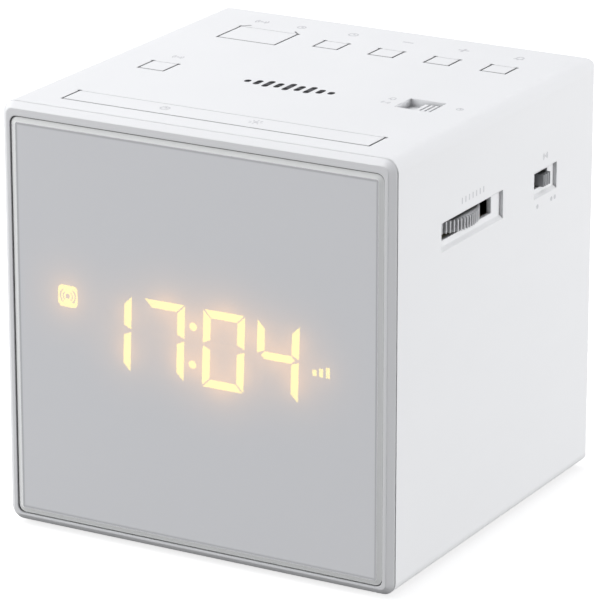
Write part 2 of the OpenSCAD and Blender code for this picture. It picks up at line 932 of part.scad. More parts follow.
module main_board() {
  clear = 0.2;
  half = inside_w - clear;
  color("peru") difference() {
    union() {
      block([-half, board_front, main_top - board_t], [half, 16, main_top]);
      block([36, 15, main_top - board_t], [half, 34, main_top]);
    }
    at_main_screws() post(0, 0, -board_t - over, over, 1.5);
  }
}

module radio_chips() {
  chip = [10, 7, 2.2];
  color("black") for (x = [-13, 1])
    translate([x, -4, main_top + chip.z / 2]) cube(chip, center = true);
}

module capacitors() {
  color("navy") {
    post(-13, -28, main_top, main_top + 13, 5);
    for (i = [0:2]) post(i * 8, -30, main_top, main_top + 9, 2.8);
  }
}

module filter_cans() {
  can = [7.2, 7.2, 9];
  color("silver") for (x = [0, 10])
    translate([x, -18, main_top + can.z / 2]) cube(can, center = true);
}

// Flat cables: display board to main board, and key board to main board
module ribbon_cables() {
  t = 0.5;
  w = 20;
  back = display_board_front + board_t;
  low = main_top - board_t;
  color("lightsteelblue") {
    along_x(-w / 2, w / 2) polygon([
      [back, display_z + 8], [back + t, display_z + 8 - t], [-32, display_z + 8 - t],
      [-32, low], [-32 - t, low], [-32 - t, display_z + 8], [back, display_z + 8 + t]
    ]);
    block([-8, board_front - t, main_top - board_t], [8, board_front, key_board_top - board_t]);
  }
}

// ---- Antenna ----

module along_rod(x0, x1) {
  translate([x0, rod_y, rod_z]) rotate([0, 90, 0]) linear_extrude(x1 - x0) children();
}

module antenna_rod() {
  color("dimgray") along_rod(-rod_l / 2, rod_l / 2) circle(rod_r);
}

module antenna_coil() {
  color("chocolate") along_rod(-24, 6) difference() {
    circle(rod_r + 0.7);
    circle(rod_r + 0.02);
  }
}

module antenna_cradles() {
  w = 4;
  seat = [12, rod_z + 2];
  color("ivory") for (x = [-31, 31])
    difference() {
      block([x - w / 2, rod_y - seat.x / 2, main_top], [x + w / 2, rod_y + seat.x / 2, seat.y]);
      along_rod(x - w, x + w) circle(rod_r + 0.02);
      block([x - w, rod_y - rod_r * 0.8, rod_z], [x + w, rod_y + rod_r * 0.8, z_top]);
    }
}

module aerial_wire() {
  color("white") rod_along_y(aerial_x, aerial_z, 30, half_d + cord_out, aerial_r);
}

// ---- Power ----

module transformer_core() {
  foot = [53, 12, 1];
  window = [6, 20];
  leg = 9;
  color("gray") {
    difference() {
      translate([core_x - core.x / 2, core_y - core.y / 2, core_z + foot.z]) cube(core);
      along_y(core_y - core.y, core_y + core.y) for (side = [-1, 1])
        translate([core_x + side * (leg + window.x) / 2, core_z + foot.z + core.z / 2])
          square(window, center = true);
    }
    difference() {
      translate([core_x - foot.x / 2, core_y - foot.y / 2, core_z]) cube(foot);
      at_transformer_screws() post(0, 0, -2 * foot.z, over, 1.5);
    }
  }
}

module transformer_coil() {
  clear = 0.1;
  coil = [20.6, 27, 19.6];
  leg = 9;
  z = core_z + 1 + core.z / 2;
  color("khaki") difference() {
    translate([core_x, core_y, z]) cube(coil, center = true);
    translate([core_x, core_y, z])
      cube([leg + 2 * clear, core.y + 2 * clear, coil.z + over], center = true);
  }
}

module cord_bushing() {
  flange_r = 5.4;
  flange_t = 1.1;
  color("white") difference() {
    union() {
      rod_along_y(cord_x, cord_z, cover_in - 3, cover_out + 0.01, 4);
      rod_along_y(cord_x, cord_z, cover_out, cover_out + flange_t, flange_r);
    }
    rod_along_y(cord_x, cord_z, cover_in - 4, half_d + cord_out + over, cord_r + 0.02);
  }
}

module mains_cord() {
  color("white") rod_along_y(cord_x, cord_z, 30, half_d + cord_out, cord_r);
}

// ---- Loudspeaker ----

// Turns an outline of (radius, depth in from the cover) about the loudspeaker's axis
module turned() {
  translate([0, cover_in, speaker_z]) rotate([90, 0, 0]) rotate_extrude() children();
}

module speaker_frame() {
  t = 0.8;
  color("dimgray") turned() polygon([
    [speaker_r, 0], [speaker_r, 1], [speaker_r - 1.5, 1], [cone_seat_r, 1 + t],
    [frame_r + 1, frame_deep], [9, frame_deep], [9, frame_deep - t], [frame_r, frame_deep - t],
    [cone_seat_r - 1.2, cone_seat + 0.5], [cone_seat_r - 1.2, cone_seat], [cone_seat_r, cone_seat],
    [cone_seat_r, 0]
  ]);
}

// Paper cone with its dust cap and its rolled edge, glued to the seat in the frame's rim
module speaker_cone() {
  t = 0.6;
  rim = cone_seat_r - 0.1;
  color("black") turned() polygon([
    [0, 6.5], [4, 7.5], [7.5, 10], [rim - 4, 2], [rim - 3, 1.2], [rim - 1.5, 0.9], [rim - 1, 0.1],
    [rim, 0.1], [rim, cone_seat], [rim - 1.1, cone_seat], [rim - 1.5, 0.9 + t], [rim - 3, 1.2 + t],
    [rim - 4, 2 + t], [8, 10 + t], [4, 8.3], [0, 7.3]
  ]);
}

module speaker_magnet() {
  long = 11;
  color("gray") turned() translate([0, frame_deep]) square([magnet_r, long]);
}

// ---- Memory battery ----

module battery_drawer() {
  front = [37.6, 9.2];
  y0 = cover_out - drawer_box.y;
  cell_floor = drawer_z - drawer_box.z / 2 + 0.8;
  color("white") difference() {
    union() {
      translate([drawer_x - drawer_box.x / 2, y0, drawer_z - drawer_box.z / 2])
        cube([drawer_box.x, drawer_box.y - 0.05, drawer_box.z]);
      along_y(cover_out - 1, cover_out)
        translate([drawer_x + 3.2, drawer_z]) round_rect(front.x, front.y, 1);
    }
    post(drawer_x, y0 + 12, cell_floor, z_mid, cell_r + 0.2);
    rod_along_y(drawer_x + drawer_screw_x, drawer_z, cover_out - 2, cover_out + over, 1.4);
  }
}

module drawer_screw() {
  color("silver") translate([drawer_x + drawer_screw_x, cover_out, drawer_z])
    rotate([-90, 0, 0]) pan_screw(6);
}

module coin_cell() {
  cell_floor = drawer_z - drawer_box.z / 2 + 0.8;
  y = cover_out - drawer_box.y + 12;
  color("silver") post(drawer_x, y, cell_floor, cell_floor + cell_t, cell_r);
}

// Sleeve round the drawer, closed at its inner end, standing on the cabinet's floor
module battery_holder() {
  t = 1.2;
  clear = 0.3;
  y0 = cover_out - drawer_box.y - clear;
  hole = [drawer_box.x + 2 * clear, drawer_box.z + 2 * clear];
  color("dimgray") difference() {
    block([drawer_x - hole.x / 2 - t, y0 - t, z_floor + wall],
          [drawer_x + hole.x / 2 + t, cover_in, drawer_z + hole.y / 2 + t]);
    along_y(y0, cover_in + over) translate([drawer_x, drawer_z]) square(hole, center = true);
  }
}

cabinet();
front_bezel();
front_window();
display_mask();
rear_cover();
case_screws();
feet();
key(SNOOZE);  // snooze_bar
key(RADIO);  // radio_key
key(CLOCK);  // clock_key
key(MINUS);  // minus_key
key(PLUS);  // plus_key
key(ALARM);  // alarm_key
key(SLEEP);  // sleep_key
plunger(SNOOZE);  // snooze_plunger
plunger(RADIO);  // radio_plunger
plunger(CLOCK);  // clock_plunger
plunger(MINUS);  // minus_plunger
plunger(PLUS);  // plus_plunger
plunger(ALARM);  // alarm_plunger
plunger(SLEEP);  // sleep_plunger
tactile_switches();
key_board();
board_screws();
alarm_slider();
alarm_switch();
band_slider();
band_switch();
tuning_wheel();
tuning_shaft();
tuning_screw();
tuning_capacitor();
volume_wheel();
volume_shaft();
volume_screw();
volume_control();
display_board();
display_housing();
lit_segments();
unlit_segments();
main_board();
radio_chips();
capacitors();
filter_cans();
ribbon_cables();
antenna_rod();
antenna_coil();
antenna_cradles();
aerial_wire();
transformer_core();
transformer_coil();
mains_cord();
cord_bushing();
speaker_frame();
speaker_cone();
speaker_magnet();
battery_drawer();
drawer_screw();
coin_cell();
battery_holder();
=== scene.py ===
import json
import math

import bmesh
import bpy
import numpy as np
from mathutils import Matrix, Vector


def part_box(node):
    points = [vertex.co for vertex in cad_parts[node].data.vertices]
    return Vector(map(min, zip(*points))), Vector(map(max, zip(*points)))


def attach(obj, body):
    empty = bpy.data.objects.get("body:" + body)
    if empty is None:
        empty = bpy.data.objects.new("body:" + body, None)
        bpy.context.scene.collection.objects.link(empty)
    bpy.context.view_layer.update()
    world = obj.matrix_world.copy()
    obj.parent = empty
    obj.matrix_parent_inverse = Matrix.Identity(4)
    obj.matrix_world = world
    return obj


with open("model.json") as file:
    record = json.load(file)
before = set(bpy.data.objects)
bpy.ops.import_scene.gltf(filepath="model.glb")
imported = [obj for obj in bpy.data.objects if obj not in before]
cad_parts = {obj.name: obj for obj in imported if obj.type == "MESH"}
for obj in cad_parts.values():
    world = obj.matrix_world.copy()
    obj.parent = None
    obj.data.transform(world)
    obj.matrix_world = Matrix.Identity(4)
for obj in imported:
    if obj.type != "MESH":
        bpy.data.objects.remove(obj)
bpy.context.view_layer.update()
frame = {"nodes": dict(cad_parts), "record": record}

MM = 0.001
SLOT = {p["node"]: p["material_slot"] for p in frame["record"]["subparts"]}
BODY = {n: b for b, nodes in frame["record"]["behaviour"]["bodies"].items() for n in nodes}

CAB_LO, CAB_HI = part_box("cabinet")
WIN_LO, WIN_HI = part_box("front_window")


# ---- Node helpers ----

def new_material(name):
    """An empty node material with an output; returns the material and its node tree."""
    mat = bpy.data.materials.new(name)
    mat.use_nodes = True
    tree = mat.node_tree
    tree.nodes.clear()
    tree.nodes.new("ShaderNodeOutputMaterial")
    return mat, tree


def output_of(tree):
    return next(n for n in tree.nodes if n.type == "OUTPUT_MATERIAL")


def add(tree, kind, inputs=None, **settings):
    """A node with its settings and its inputs, where an input is a value or another node's socket."""
    node = tree.nodes.new(kind)
    for key, value in settings.items():
        setattr(node, key, value)
    for key, value in (inputs or {}).items():
        if isinstance(value, bpy.types.NodeSocket):
            tree.links.new(value, node.inputs[key])
        else:
            node.inputs[key].default_value = value
    return node


def rgba(colour):
    return (*colour, 1.0)


def place_of(tree):
    """Coordinates in metres that stay with the piece."""
    return add(tree, "ShaderNodeTexCoord").outputs["Object"]


def noise(tree, scale, detail=2.0, stretch=None):
    """Cloudy 0..1 values that repeat about `scale` times per metre."""
    vector = place_of(tree)
    if stretch:
        vector = add(tree, "ShaderNodeMapping", {"Vector": vector, "Scale": stretch}).outputs[0]
    inputs = {"Vector": vector, "Scale": scale, "Detail": detail}
    return add(tree, "ShaderNodeTexNoise", inputs).outputs["Fac"]


def spread(tree, fac, low, high):
    """Maps 0..1 noise to low..high."""
    inputs = {"Value": fac, "To Min": low, "To Max": high}
    return add(tree, "ShaderNodeMapRange", inputs).outputs["Result"]


def mix_colours(tree, fac, first, second):
    """One colour at 0 and the other at 1."""
    inputs = {"Factor": fac, "A": first, "B": second}
    return add(tree, "ShaderNodeMix", inputs, data_type="RGBA").outputs["Result"]


def calc(tree, operation, *values):
    """The result of a math node on values or sockets."""
    return add(tree, "ShaderNodeMath", dict(enumerate(values)), operation=operation).outputs[0]


def rear_facing(tree):
    """How far the surface faces the rear: 1 straight at it, -1 straight at the front."""
    shape = add(tree, "ShaderNodeNewGeometry")
    return add(tree, "ShaderNodeSeparateXYZ", {"Vector": shape.outputs["True Normal"]}).outputs["Y"]


def to_surface(tree, shader):
    tree.links.new(shader.outputs[0], output_of(tree).inputs["Surface"])


def join(tree, kind, first, second, inputs=None):
    """A shader node that puts two shaders together."""
    both = add(tree, kind, inputs)
    slots = [i for i in both.inputs if i.type == "SHADER"]
    tree.links.new(first.outputs[0], slots[0])
    tree.links.new(second.outputs[0], slots[1])
    return both


def tint(tree, fac, colour, amount):
    """The colour, varied a little lighter and darker by the noise."""
    dark = [c * (1 - amount) for c in colour]
    light = [min(1.0, c * (1 + amount)) for c in colour]
    return mix_colours(tree, fac, rgba(dark), rgba(light))


def painted_gap_shade(tree, colour, reach, dark):
    """Painted shade: the colour darkened in gaps and beside walls in reach, less on walls that face the
    front.
    """
    open_share = add(tree, "ShaderNodeAmbientOcclusion", {"Distance": reach}, samples=8).outputs["AO"]
    front_dark = 0.4 + 0.6 * dark
    dimmest = add(tree, "ShaderNodeMapRange", {
        "Value": rear_facing(tree), "From Min": -0.3, "From Max": -0.9,
        "To Min": dark, "To Max": front_dark})
    level = add(tree, "ShaderNodeMapRange", {
        "Value": open_share, "From Min": 0.3, "From Max": 0.8, "To Min": dimmest.outputs["Result"]})
    # Multiplies the painted shade into the colour.
    mix = add(tree, "ShaderNodeMix", {"Factor": 1.0, "A": colour, "B": level.outputs["Result"]},
              data_type="RGBA", blend_type="MULTIPLY")
    return mix.outputs["Result"]


def bump(tree, height, strength, distance, normal=None):
    inputs = {"Height": height, "Strength": strength, "Distance": distance}
    if normal:
        inputs["Normal"] = normal
    return add(tree, "ShaderNodeBump", inputs).outputs["Normal"]


def finish_principled(tree, inputs):
    to_surface(tree, add(tree, "ShaderNodeBsdfPrincipled", inputs))


# ---- Materials ----

def moulded(name, colour, rough=0.4, grain=0.12, depth=0.004, vary=0.012, coat=0.0, reach=1.5, dark=0.6):
    """Moulded plastic: a fine spark-eroded grain, slight flow marks, soft corners and painted shade in
    gaps.
    """
    mat, tree = new_material(name)
    fine = noise(tree, 1 / (grain * MM), 3.0)
    flow = noise(tree, 1 / (18 * MM), 2.0, stretch=(1.0, 0.6, 1.6))
    edge = add(tree, "ShaderNodeBevel", {"Radius": 0.35 * MM}, samples=4).outputs["Normal"]
    finish_principled(tree, {
        # Base colour with painted shade in gaps and corners, as far as reach and as deep as dark.
        "Base Color": painted_gap_shade(tree, tint(tree, flow, colour, vary), reach * MM, dark),
        "Roughness": spread(tree, flow, rough - 0.04, rough + 0.04),
        "Coat Weight": coat,
        "Coat Roughness": 0.2,
        "Normal": bump(tree, fine, 0.35, depth * MM, edge),
    })
    return mat


def metal(name, colour, rough=0.3, brushed=(1.0, 1.0, 1.0), metallic=1.0, vary=0.06):
    """Metal with fine tool marks drawn out along the stretched axis."""
    mat, tree = new_material(name)
    marks = noise(tree, 1 / (0.25 * MM), 3.0, stretch=brushed)
    blotch = noise(tree, 1 / (4 * MM))
    finish_principled(tree, {
        "Base Color": tint(tree, blotch, colour, vary),
        "Metallic": metallic,
        "Roughness": spread(tree, marks, rough - 0.08, rough + 0.1),
        "Normal": bump(tree, marks, 0.3, 0.01 * MM),
    })
    return mat


def rubber(name, colour):
    mat, tree = new_material(name)
    fine = noise(tree, 1 / (0.3 * MM), 4.0)
    dust = noise(tree, 1 / (3 * MM))
    finish_principled(tree, {
        "Base Color": tint(tree, dust, colour, 0.25),
        "Roughness": spread(tree, dust, 0.7, 0.9),
        "Normal": bump(tree, fine, 0.5, 0.03 * MM),
    })
    return mat


def circuit_board(name, mask, track):
    """Solder mask over a grid of copper tracks."""
    mat, tree = new_material(name)
    cells = add(tree, "ShaderNodeTexBrick", {
        "Vector": place_of(tree), "Scale": 1 / (9 * MM), "Mortar Size": 0.09,
        "Color1": rgba(mask), "Color2": rgba(mask), "Mortar": rgba(track)})
    blotch = noise(tree, 1 / (6 * MM))
    finish_principled(tree, {
        "Base Color": cells.outputs["Color"],
        "Roughness": spread(tree, blotch, 0.3, 0.45),
        "Normal": bump(tree, cells.outputs["Fac"], 0.5, 0.03 * MM),
    })
    return mat


def wound(name, colour, pitch, axis, rough=0.35, metallic=0.0):
    """Turns of wire or tape side by side along one axis."""
    mat, tree = new_material(name)
    bands = add(tree, "ShaderNodeTexWave", {
        "Vector": place_of(tree), "Scale": 0.31 / (pitch * MM), "Distortion": 0.3, "Detail": 1.0},
        wave_type="BANDS", bands_direction=axis).outputs["Fac"]
    finish_principled(tree, {
        "Base Color": tint(tree, bands, colour, 0.25),
        "Metallic": metallic,
        "Roughness": rough,
        "Normal": bump(tree, bands, 0.8, 0.1 * MM),
    })
    return mat


def paper_cone(name, colour):
    mat, tree = new_material(name)
    fibres = noise(tree, 1 / (0.5 * MM), 6.0, stretch=(1.0, 0.3, 1.0))
    finish_principled(tree, {
        "Base Color": tint(tree, fibres, colour, 0.4),
        "Roughness": 0.9,
        "Normal": bump(tree, fibres, 0.7, 0.08 * MM),
    })
    return mat


def edge_line(tree, inset, width):
    """1 along a soft line that runs round the window at the given distance from its edge, where the
    painted shadow line goes.
    """
    place = add(tree, "ShaderNodeSeparateXYZ", {"Vector": place_of(tree)})
    depths = []
    for axis, lo, hi in (("X", WIN_LO.x, WIN_HI.x), ("Z", WIN_LO.z, WIN_HI.z)):
        from_middle = calc(tree, "ABSOLUTE", calc(tree, "SUBTRACT", place.outputs[axis], (lo + hi) / 2))
        depths.append(calc(tree, "SUBTRACT", (hi - lo) / 2, from_middle))
    from_edge = calc(tree, "MINIMUM", *depths)
    gap = calc(tree, "ABSOLUTE", calc(tree, "SUBTRACT", from_edge, inset))
    inputs = {"Value": gap, "From Min": width, "From Max": 0.0}
    return add(tree, "ShaderNodeMapRange", inputs, interpolation_type="SMOOTHSTEP").outputs["Result"]


def mirror_coat(tree, haze, colour):
    """Half-mirror coat with a painted shadow line round it; a little light passes it, and all of it from
    behind.
    """
    ripple = noise(tree, 1 / (9 * MM), 1.0)
    # A darker line of the coat colour, painted as the shade round the coat's edge.
    painted_shadow_line = [0.72 * c for c in colour]
    line = edge_line(tree, 1.55 * MM, 0.4 * MM)
    coat = add(tree, "ShaderNodeBsdfPrincipled", {
        "Base Color": mix_colours(tree, line, tint(tree, haze, colour, 0.01), rgba(painted_shadow_line)),
        "Metallic": 0.6,
        "Roughness": spread(tree, haze, 0.16, 0.2),
        "Normal": bump(tree, ripple, 0.02, 0.01 * MM),
    })
    clear = add(tree, "ShaderNodeBsdfTransparent", {"Color": rgba((0.95, 0.95, 0.95))})
    backfacing = add(tree, "ShaderNodeNewGeometry").outputs["Backfacing"]
    passed = calc(tree, "MAXIMUM", backfacing, 0.15)
    return join(tree, "ShaderNodeMixShader", coat, clear, {"Fac": passed})


def half_mirror(name, colour, bevel_highlight_colour):
    """Acrylic with a half-mirror coat on its flat front, a bevel left uncoated and painted pale as a
    highlight, and painted shade on its sides.
    """
    mat, tree = new_material(name)
    haze = noise(tree, 1 / (30 * MM))
    flatness = calc(tree, "ABSOLUTE", rear_facing(tree))
    on_bevel = add(tree, "ShaderNodeMapRange", {"Value": flatness, "From Min": 0.99, "From Max": 0.97})
    on_side = calc(tree, "LESS_THAN", flatness, 0.5)
    # The sides are painted dark as shade in the groove round the window; the bevel gets the pale painted
    # highlight.
    painted_groove_shade = [0.3 * c for c in bevel_highlight_colour]
    painted_edge_colour = mix_colours(tree, on_side, tint(tree, haze, bevel_highlight_colour, 0.02), rgba(painted_groove_shade))
    painted_edge = add(tree, "ShaderNodeBsdfPrincipled", {"Base Color": painted_edge_colour, "Roughness": 0.15})
    coat = mirror_coat(tree, haze, colour)
    whole = join(tree, "ShaderNodeMixShader", coat, painted_edge, {"Fac": on_bevel.outputs["Result"]})
    to_surface(tree, whole)
    return mat


def lit_diffuser(name, core, rim, power):
    """Lit epoxy: pale in the middle of a segment and warmer towards its edge."""
    mat, tree = new_material(name)
    grain = noise(tree, 1 / (1.2 * MM))
    facing = add(tree, "ShaderNodeLayerWeight", {"Blend": 0.4}).outputs["Facing"]
    shine = add(tree, "ShaderNodeEmission", {
        "Color": mix_colours(tree, facing, rgba(core), rgba(rim)),
        "Strength": spread(tree, grain, power * 0.94, power * 1.06),
    })
    to_surface(tree, shine)
    return mat


def glow(name, colour, power):
    """Clear film with a painted glow, as bright as the amount stored on its points."""
    mat, tree = new_material(name)
    amount = add(tree, "ShaderNodeAttribute", attribute_name="glow").outputs["Fac"]
    speckle = noise(tree, 1 / (2 * MM))
    strength = calc(tree, "MULTIPLY", amount, spread(tree, speckle, power * 0.97, power * 1.03))
    shine = add(tree, "ShaderNodeEmission", {"Color": rgba(colour), "Strength": strength})
    clear = add(tree, "ShaderNodeBsdfTransparent")
    to_surface(tree, join(tree, "ShaderNodeAddShader", shine, clear))
    return mat


def ink(name, colour):
    """Pad-printed ink with a slightly uneven coverage."""
    mat, tree = new_material(name)
    cover = noise(tree, 1 / (0.4 * MM), 3.0)
    finish_principled(tree, {
        "Base Color": tint(tree, cover, colour, 0.08),
        "Roughness": spread(tree, cover, 0.4, 0.6),
        "Normal": bump(tree, cover, 0.2, 0.005 * MM),
    })
    return mat


CASE_WHITE = (0.86, 0.865, 0.875)
MATERIALS = {
    # reach and dark give each moulded material's painted shade in its gaps.
    "white_plastic": moulded("white_plastic", CASE_WHITE, rough=0.42, reach=2.5, dark=0.5),
    # The second colour is the painted highlight on the window's bevel; a darker share of it paints the
    # shade on its sides.
    "window_mirror": half_mirror("window_mirror", (0.93, 0.935, 0.955), (0.9, 0.91, 0.9)),
    "black_plastic": moulded("black_plastic", (0.02, 0.02, 0.022), rough=0.5),
    "display_glow": lit_diffuser("display_glow", (1.0, 0.8, 0.02), (1.0, 0.6, 0.0), 3.8),
    "display_dark": moulded("display_dark", (0.08, 0.08, 0.08), rough=0.5),
    "rubber_foot": rubber("rubber_foot", (0.05, 0.05, 0.05)),
    "screw_steel": metal("screw_steel", (0.6, 0.6, 0.58), 0.35),
    "screw_black": metal("screw_black", (0.03, 0.03, 0.03), 0.45, metallic=0.6),
    # Deep painted shade in the wheel's rib valleys.
    "wheel_grey": moulded("wheel_grey", (0.78, 0.785, 0.8), rough=0.4, reach=1.2, dark=0.08),
    # Deep painted shade on the knob's faces inside its slot.
    "slider_grey": moulded("slider_grey", (0.4, 0.405, 0.42), rough=0.45, reach=3.0, dark=0.1),
    "switch_black": moulded("switch_black", (0.012, 0.012, 0.012), rough=0.5),
    "ivory_plastic": moulded("ivory_plastic", (0.75, 0.7, 0.55), rough=0.45),
    "board_green": circuit_board("board_green", (0.01, 0.09, 0.03), (0.03, 0.2, 0.07)),
    "board_brown": circuit_board("board_brown", (0.32, 0.18, 0.07), (0.45, 0.3, 0.14)),
    "brass_shaft": metal("brass_shaft", (0.7, 0.5, 0.2), 0.3, (1.0, 1.0, 8.0)),
    "can_metal": metal("can_metal", (0.7, 0.7, 0.71), 0.35, (1.0, 1.0, 0.2)),
    "capacitor_sleeve": moulded("capacitor_sleeve", (0.02, 0.04, 0.16), rough=0.3, coat=0.4),
    "chip_black": moulded("chip_black", (0.015, 0.015, 0.016), rough=0.6, grain=0.3, depth=0.02),
    "cable_grey": wound("cable_grey", (0.5, 0.52, 0.56), 1.27, "X", 0.5),
    "ferrite": metal("ferrite", (0.05, 0.045, 0.045), 0.55, metallic=0.3, vary=0.2),
    "copper_wire": wound("copper_wire", (0.6, 0.22, 0.08), 0.5, "X", 0.3, 0.8),
    "cord_white": moulded("cord_white", (0.8, 0.8, 0.8), rough=0.35, grain=0.5, depth=0.02),
    "core_steel": wound("core_steel", (0.15, 0.15, 0.16), 0.5, "Y", 0.5, 0.6),
    "winding_tape": wound("winding_tape", (0.75, 0.6, 0.12), 9.0, "Z", 0.3),
    "frame_steel": metal("frame_steel", (0.12, 0.12, 0.125), 0.4, metallic=0.5),
    "paper_cone": paper_cone("paper_cone", (0.025, 0.025, 0.025)),
    "cell_steel": metal("cell_steel", (0.7, 0.7, 0.7), 0.25, (6.0, 1.0, 1.0)),
}
# Copies of the case white that differ only in painted shade: very dark in the key slits, light round the
# alarm knob.
KEY_WHITE_SHADED = moulded("key_white_shaded", CASE_WHITE, rough=0.42, reach=2.0, dark=0.05)
KNOB_WHITE_SHADED = moulded("knob_white_shaded", CASE_WHITE, rough=0.42, reach=1.0, dark=0.75)
FAINT_INK = ink("faint_ink", (0.64, 0.64, 0.66))
DARK_INK = ink("dark_ink", (0.07, 0.07, 0.075))


KEYS = [name for name in frame["nodes"] if name.endswith(("_key", "_bar"))]
SHADED_COPIES = {"alarm_slider": KNOB_WHITE_SHADED, **{name: KEY_WHITE_SHADED for name in KEYS}}
EASED_EDGES = {"front_bezel": 0.25, "front_window": 0.08, "cabinet": 0.12, "rear_cover": 0.12,
               "tuning_wheel": 0.1, "volume_wheel": 0.1, "alarm_slider": 0.12, "band_slider": 0.12,
               "battery_drawer": 0.15, "cord_bushing": 0.3, "mains_cord": 0.2,
               **{name: 0.12 for name in KEYS}}


def ease_edges(obj, width):
    soft = obj.modifiers.new("eased_edges", "BEVEL")
    soft.width = width
    soft.segments = 3
    soft.limit_method = "ANGLE"
    soft.angle_limit = math.radians(35)


def dress_nodes():
    """Gives every CAD node the material of its slot, or a case-white copy with its own painted shade,
    and eases the edges that show.
    """
    for name, obj in frame["nodes"].items():
        if not obj.material_slots:
            obj.data.materials.append(None)
        for material_slot in obj.material_slots:
            material_slot.material = SHADED_COPIES.get(name, MATERIALS[SLOT[name]])
        if name in EASED_EDGES:
            ease_edges(obj, EASED_EDGES[name] * MM)


dress_nodes()


# ---- Flat marks ----

class Marks:
    """Collects flat outlines in a drawing plane, in millimetres, and makes one thin piece of them."""

    def __init__(self):
        self.faces = []

    def polygon(self, points):
        self.faces.append(points)
        return self

    def bar(self, x, y, w, h, turn=0.0):
        c, s = math.cos(turn), math.sin(turn)
        corners = [(-w / 2, -h / 2), (w / 2, -h / 2), (w / 2, h / 2), (-w / 2, h / 2)]
        return self.polygon([(x + c * u - s * v, y + s * u + c * v) for u, v in corners])

    def disc(self, x, y, r, steps=24):
        turns = [2 * math.pi * i / steps for i in range(steps)]
        return self.polygon([(x + r * math.cos(t), y + r * math.sin(t)) for t in turns])

    def arc(self, x, y, r, start, end, thick, steps=16):
        """Ring sector between two angles in degrees, as a strip of quads."""
        turns = [math.radians(start + (end - start) * i / steps) for i in range(steps + 1)]
        rim = [(math.cos(t), math.sin(t)) for t in turns]
        inner, outer = r - thick / 2, r + thick / 2
        for (c0, s0), (c1, s1) in zip(rim, rim[1:]):
            self.polygon([(x + inner * c0, y + inner * s0), (x + outer * c0, y + outer * s0),
                          (x + outer * c1, y + outer * s1), (x + inner * c1, y + inner * s1)])
        return self

    def ring(self, x, y, r, thick):
        return self.arc(x, y, r, 0, 360, thick, 28)

    def make(self, name, plane, mat, body, slot, thick=0.03):
        """plane maps (x, y, height) in the drawing, in millimetres, to the row frame in metres."""
        bm = bmesh.new()
        for outline in self.faces:
            low = [bm.verts.new(plane @ Vector((x, y, -thick))) for x, y in outline]
            high = [bm.verts.new(plane @ Vector((x, y, thick))) for x, y in outline]
            bm.faces.new(high)
            bm.faces.new(low[::-1])
            for i in range(len(low)):
                j = (i + 1) % len(low)
                bm.faces.new((low[i], low[j], high[j], high[i]))
        bmesh.ops.recalc_face_normals(bm, faces=bm.faces)
        mesh = bpy.data.meshes.new(name)
        bm.to_mesh(mesh)
        bm.free()
        obj = bpy.data.objects.new(name, mesh)
        bpy.context.scene.collection.objects.link(obj)
        mesh.materials.append(mat)
        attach(obj, body)


def top_plane(x, y):
    """Drawing plane on the cabinet's top, with its origin at x, y in millimetres."""
    return Matrix.Translation((x * MM, y * MM, CAB_HI.z)) @ Matrix.Scale(MM, 4)


def right_plane(y, z):
    """Drawing plane on the cabinet's right side: x runs to the rear and y runs up."""
    turn = Matrix(((0, 0, 1, 0), (1, 0, 0, 0), (0, 1, 0, 0), (0, 0, 0, 1)))
    return Matrix.Translation((CAB_HI.x, y * MM, z * MM)) @ turn @ Matrix.Scale(MM, 4)


def left_plane(y, z):
    """Drawing plane on the cabinet's left side: x runs to the front and y runs up."""
    turn = Matrix(((0, 0, -1, 0), (-1, 0, 0, 0), (0, 1, 0, 0), (0, 0, 0, 1)))
    return Matrix.Translation((CAB_LO.x, y * MM, z * MM)) @ turn @ Matrix.Scale(MM, 4)


# Each sign below is drawn about x, y at the size s, all in millimetres.

def bell(marks, x, y, s):
    marks.arc(x, y + 0.15 * s, 0.42 * s, 0, 180, 0.22 * s, 10)
    marks.bar(x - 0.42 * s, y - 0.1 * s, 0.22 * s, 0.5 * s)
    marks.bar(x + 0.42 * s, y - 0.1 * s, 0.22 * s, 0.5 * s)
    marks.bar(x, y - 0.42 * s, 1.35 * s, 0.2 * s)
    marks.disc(x, y - 0.68 * s, 0.15 * s, 10)
    return marks


def clock_face(marks, x, y, s):
    marks.ring(x, y, 0.6 * s, 0.2 * s)
    marks.bar(x, y + 0.2 * s, 0.16 * s, 0.45 * s)
    marks.bar(x + 0.15 * s, y, 0.35 * s, 0.16 * s)
    return marks


def waves(marks, x, y, s):
    marks.disc(x, y, 0.2 * s, 14)
    for r in (0.5, 0.85):
        marks.arc(x, y, r * s, -45, 45, 0.17 * s, 8)
        marks.arc(x, y, r * s, 135, 225, 0.17 * s, 8)
    return marks


def sun(marks, x, y, s):
    marks.disc(x, y, 0.32 * s, 16)
    for i in range(8):
        t = i * math.pi / 4
        marks.bar(x + 0.7 * s * math.cos(t), y + 0.7 * s * math.sin(t), 0.32 * s, 0.14 * s, t)
    return marks


def middle(node):
    """Middle of a node's box in plan, and the place of its rear edge, in millimetres."""
    lo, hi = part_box(node)
    return (lo.x + hi.x) / 2 / MM, (lo.y + hi.y) / 2 / MM, hi.y / MM


def print_sign(marks, name, plane=None, body="root"):
    """Prints the marks in faint ink, on the top unless another plane is given."""
    marks.make(name, plane or top_plane(0, 0), FAINT_INK, body, "white_plastic")


